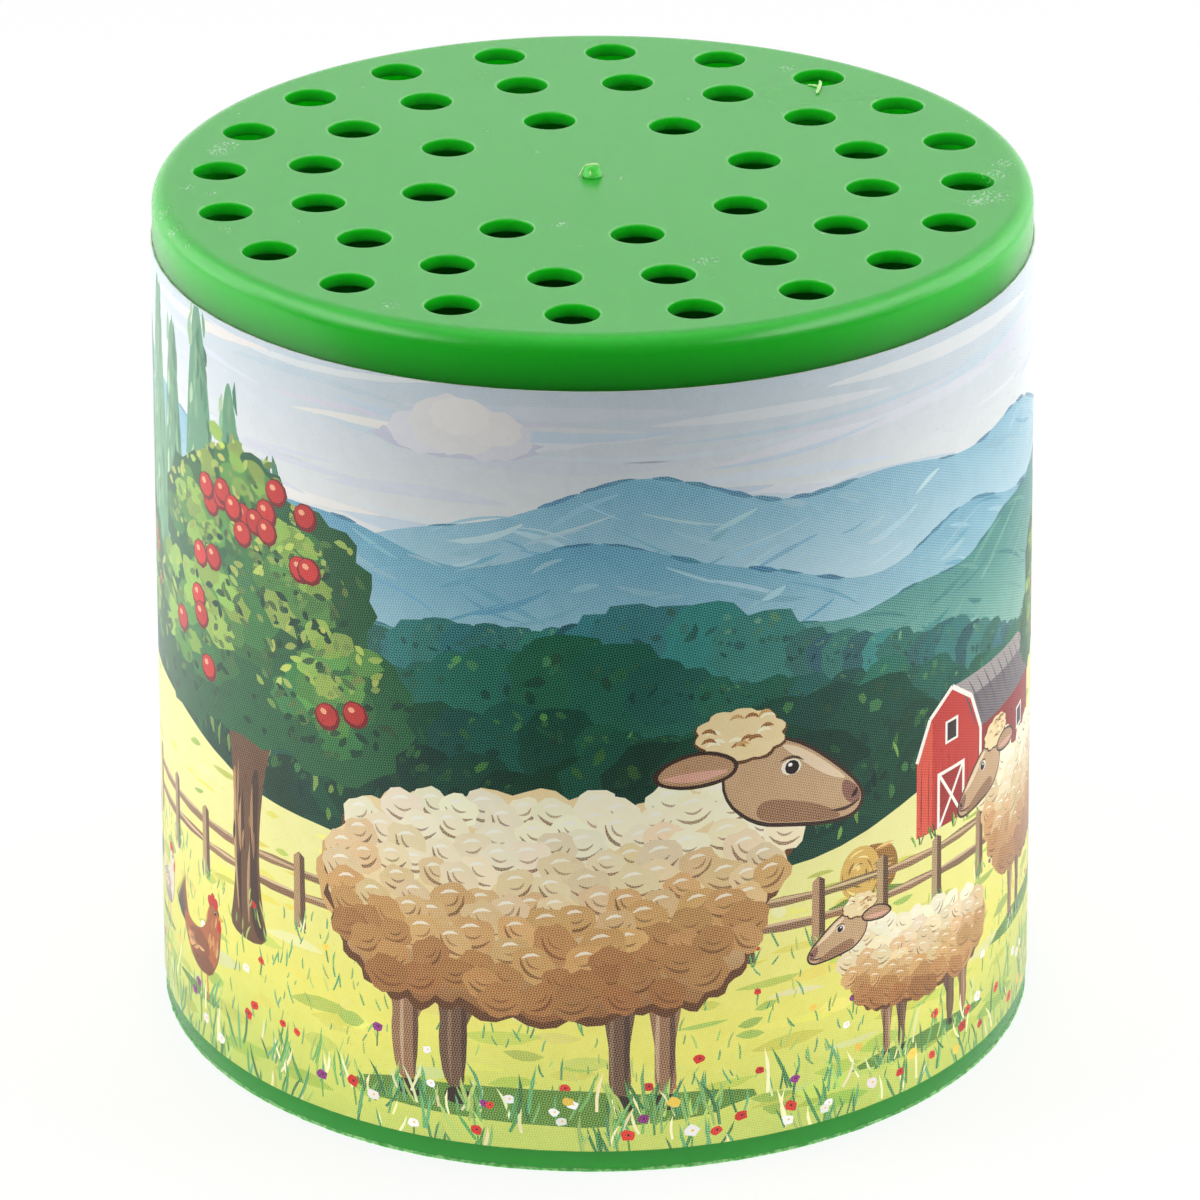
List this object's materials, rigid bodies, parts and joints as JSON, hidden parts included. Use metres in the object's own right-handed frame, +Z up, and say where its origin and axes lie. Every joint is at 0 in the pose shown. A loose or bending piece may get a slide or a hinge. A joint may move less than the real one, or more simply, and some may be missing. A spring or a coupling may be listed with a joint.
{
  "type": "animal sound box",
  "caption": "Round plastic can with a perforated top and printed wrap label; turned over and back, a sliding weight works a bellows and reed inside that calls like an animal.",
  "frame": {"origin": "centre of the standing rim, on the plane the can stands on", "axes": "+Z up along the can's axis, front of the can towards -Y, label seam at +Y"},
  "size_m": [0.0606, 0.0606, 0.0597],
  "materials": {
    "green_shell": "satin moulded green plastic, lightly scuffed",
    "green_plug": "satin moulded green plastic",
    "printed_film": "glossy printed film, farm meadow in offset colours",
    "bellows_film": "thin folded film, slightly translucent",
    "band_rubber": "amber rubber cord",
    "carrier_plastic": "grey moulded plastic",
    "slug_steel": "turned steel",
    "felt": "grey pressed felt",
    "tube_plastic": "ivory moulded plastic",
    "seal_rubber": "black rubber",
    "spring_steel": "stamped spring steel",
    "block_plastic": "white moulded plastic",
    "reed_brass": "rolled brass strip",
    "wedge_wood": "bare wood",
    "valve_rubber": "thin dark rubber",
    "pin_brass": "turned brass"
  },
  "bodies": {
    "case": {"can_shell": "green_shell", "base_plug": "green_plug", "printed_label": "printed_film", "bellows": "bellows_film", "lower_band": "band_rubber"},
    "weight": {"weight_carrier": "carrier_plastic", "weight_slug": "slug_steel", "felt_bumper": "felt", "upper_band": "band_rubber", "voice_tube": "tube_plastic", "tube_seal": "seal_rubber", "push_nut": "spring_steel", "reed_block": "block_plastic", "reed_wedge": "wedge_wood", "valve_pin": "pin_brass"},
    "reed": {"reed_tongue": "reed_brass"},
    "valve": {"valve_disc": "valve_rubber"}
  },
  "joints": [
    {"name": "weight_slide", "type": "slide", "parent": "case", "child": "weight", "axis": [0, 0, 1], "range_m": [0, 0.0322], "deforming": ["bellows"]},
    {"name": "reed_flex", "type": "hinge", "parent": "weight", "child": "reed", "pos_m": [0.00103, 0, 0.0177], "axis": [0, -1, 0], "range_deg": [-1.5, 3], "stiffness_Nm_per_rad": 0.002},
    {"name": "valve_lift", "type": "slide", "parent": "weight", "child": "valve", "axis": [0, 0, 1], "range_m": [0, 0.0012]}
  ]
}
